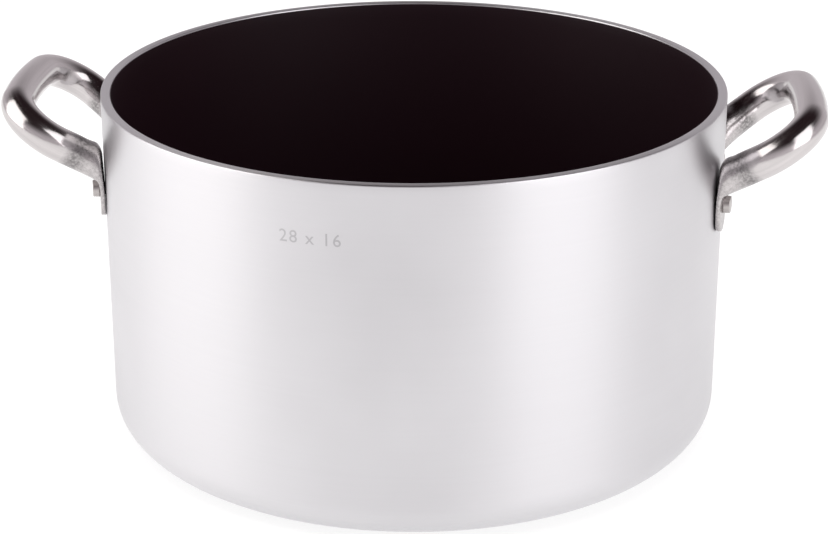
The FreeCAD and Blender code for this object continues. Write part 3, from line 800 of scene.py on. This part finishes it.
rivet_nodes = ("rivet_right_front", "rivet_right_rear", "rivet_left_front", "rivet_left_rear")
rivet_metal = headed_metal("headed_aluminium", (0.50, 0.47, 0.46))
shank = 0.003
head_radius, head_face, head_tall = 0.0041, 0.00385, 0.0032
inner_head, inner_face, inner_tall = 0.006, 0.0033, 0.0016
inner_seat_gap = 0.00015
inner_seat = inner_radius - skin - inner_seat_gap
outer_seat = pot_radius + foot_gap + foot_sheet
inner_end = inner_seat - inner_tall
outer_end = outer_seat + head_tall
half_length = (outer_end - inner_end) / 2
middle_radius = (outer_end + inner_end) / 2
rivet = turned_piece(
    "rivet",
    [
        (0.0, half_length, 0),
        (head_face, half_length, 0.0004),
        (head_radius, outer_seat - middle_radius, 0),
        (shank, outer_seat - middle_radius, 0),
        (shank, inner_seat - middle_radius, 0),
        (inner_head, inner_seat - middle_radius, 0.00015),
        (inner_face, -half_length, 0.0012),
        (0.0, -half_length, 0),
    ],
    0.0006,
    56,
    rivet_metal,
)
places, headings = [], []
for name in rivet_nodes:
    low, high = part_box(name)
    centre = (Vector(low) + Vector(high)) / 2
    azimuth = math.atan2(centre.y, centre.x)
    places.append((middle_radius * math.cos(azimuth), middle_radius * math.sin(azimuth), centre.z))
    headings.append((0.0, math.pi / 2, azimuth))
rivets = placed_copies("handle_rivets", rivet, places, headings, rivet_metal)
bpy.data.objects.remove(rivet)
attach(rivets, "root")
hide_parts(*rivet_nodes)


# ---------------------------------------------------------------------------
# Studio. A pale table that glows faintly, a tall soft box at each side and a room
# that is pale near the floor and dark overhead, which gives bare metal its dark bands.

def pale_table(name, colour, glow):
    """Matt white board with the faintest mottle, lit a little from below."""
    material = bpy.data.materials.new(name)
    material.use_nodes = True
    nodes, links = material.node_tree.nodes, material.node_tree.links
    shader = nodes["Principled BSDF"]
    shader.inputs["Specular IOR Level"].default_value = 0.1
    where = nodes.new("ShaderNodeTexCoord")
    mottle = nodes.new("ShaderNodeTexNoise")
    mottle.inputs["Scale"].default_value = 6.0
    links.new(where.outputs["Object"], mottle.inputs["Vector"])
    tone = nodes.new("ShaderNodeMapRange")
    tone.inputs["To Min"].default_value = 0.985
    tone.inputs["To Max"].default_value = 1.0
    links.new(mottle.outputs["Fac"], tone.inputs["Value"])
    tint = nodes.new("ShaderNodeMix")
    tint.data_type = "RGBA"
    tint.blend_type = "MULTIPLY"
    tint.inputs["Factor"].default_value = 1.0
    tint.inputs["A"].default_value = (*colour, 1.0)
    links.new(tone.outputs[0], tint.inputs["B"])
    links.new(tint.outputs["Result"], shader.inputs["Base Color"])
    rough = nodes.new("ShaderNodeMapRange")
    rough.inputs["To Min"].default_value = 0.85
    rough.inputs["To Max"].default_value = 0.95
    links.new(mottle.outputs["Fac"], rough.inputs["Value"])
    links.new(rough.outputs[0], shader.inputs["Roughness"])
    shader.inputs["Emission Color"].default_value = (1.0, 1.0, 1.0, 1.0)
    shader.inputs["Emission Strength"].default_value = glow
    return material


table_half = 4.0
table_mesh = bpy.data.meshes.new("table")
table_mesh.from_pydata(
    [(x * table_half, y * table_half, 0.0) for x, y in ((-1, -1), (1, -1), (1, 1), (-1, 1))],
    [],
    [(0, 1, 2, 3)],
)
table_mesh.materials.append(pale_table("white_table", (0.26, 0.26, 0.26), 0.78))
table = bpy.data.objects.new("table", table_mesh)
bpy.context.scene.collection.objects.link(table)


def soft_box(name, place, target, width, height, power, colour):
    """A rectangular soft light aimed at a point."""
    light = bpy.data.lights.new(name, "AREA")
    light.shape = "RECTANGLE"
    light.size = width
    light.size_y = height
    light.energy = power
    light.color = colour
    lamp = bpy.data.objects.new(name, light)
    bpy.context.scene.collection.objects.link(lamp)
    lamp.location = place
    lamp.rotation_euler = (Vector(target) - Vector(place)).to_track_quat("-Z", "Y").to_euler()
    return lamp


middle = (0.0, 0.0, 0.08)
soft_box("left_box", (-1.45, -0.30, 0.95), middle, 1.7, 1.9, 19.0, (1.0, 0.985, 0.965))
soft_box("right_box", (1.25, -0.85, 0.95), middle, 1.3, 1.9, 14.0, (1.0, 0.99, 1.0))
# the overhead light only fills the shadows, so bare metal doesn't mirror it
overhead = soft_box("overhead_box", (0.0, 0.2, 2.2), middle, 2.4, 2.4, 62.0, (1.0, 0.99, 0.99))
overhead.visible_glossy = False

world = bpy.data.worlds.new("studio_room")
world.use_nodes = True
nodes, links = world.node_tree.nodes, world.node_tree.links
direction = nodes.new("ShaderNodeTexCoord")
rise = nodes.new("ShaderNodeSeparateXYZ")
links.new(direction.outputs["Generated"], rise.inputs[0])
shade = nodes.new("ShaderNodeValToRGB")
shade.color_ramp.interpolation = "EASE"
shade.color_ramp.elements[0].position = 0.20
shade.color_ramp.elements[0].color = (0.65, 0.61, 0.635, 1.0)
shade.color_ramp.elements[1].position = 0.80
shade.color_ramp.elements[1].color = (0.022, 0.012, 0.014, 1.0)
links.new(rise.outputs[2], shade.inputs["Fac"])
links.new(shade.outputs["Color"], nodes["Background"].inputs["Color"])
bpy.context.scene.world = world
bpy.context.scene.view_settings.view_transform = "Standard"

camera_data = bpy.data.cameras.new("camera")
camera_data.sensor_width = 36.0
camera_data.lens = 96.96
camera = bpy.data.objects.new("camera", camera_data)
bpy.context.scene.collection.objects.link(camera)
turn = math.radians(4.3)
pitch = 0.3800
distance = 0.9900
camera_height = 0.4670
camera.location = (distance * math.sin(turn), -distance * math.cos(turn), camera_height)
camera.rotation_euler = (math.pi / 2 - pitch, 0.0, turn)
bpy.context.scene.camera = camera
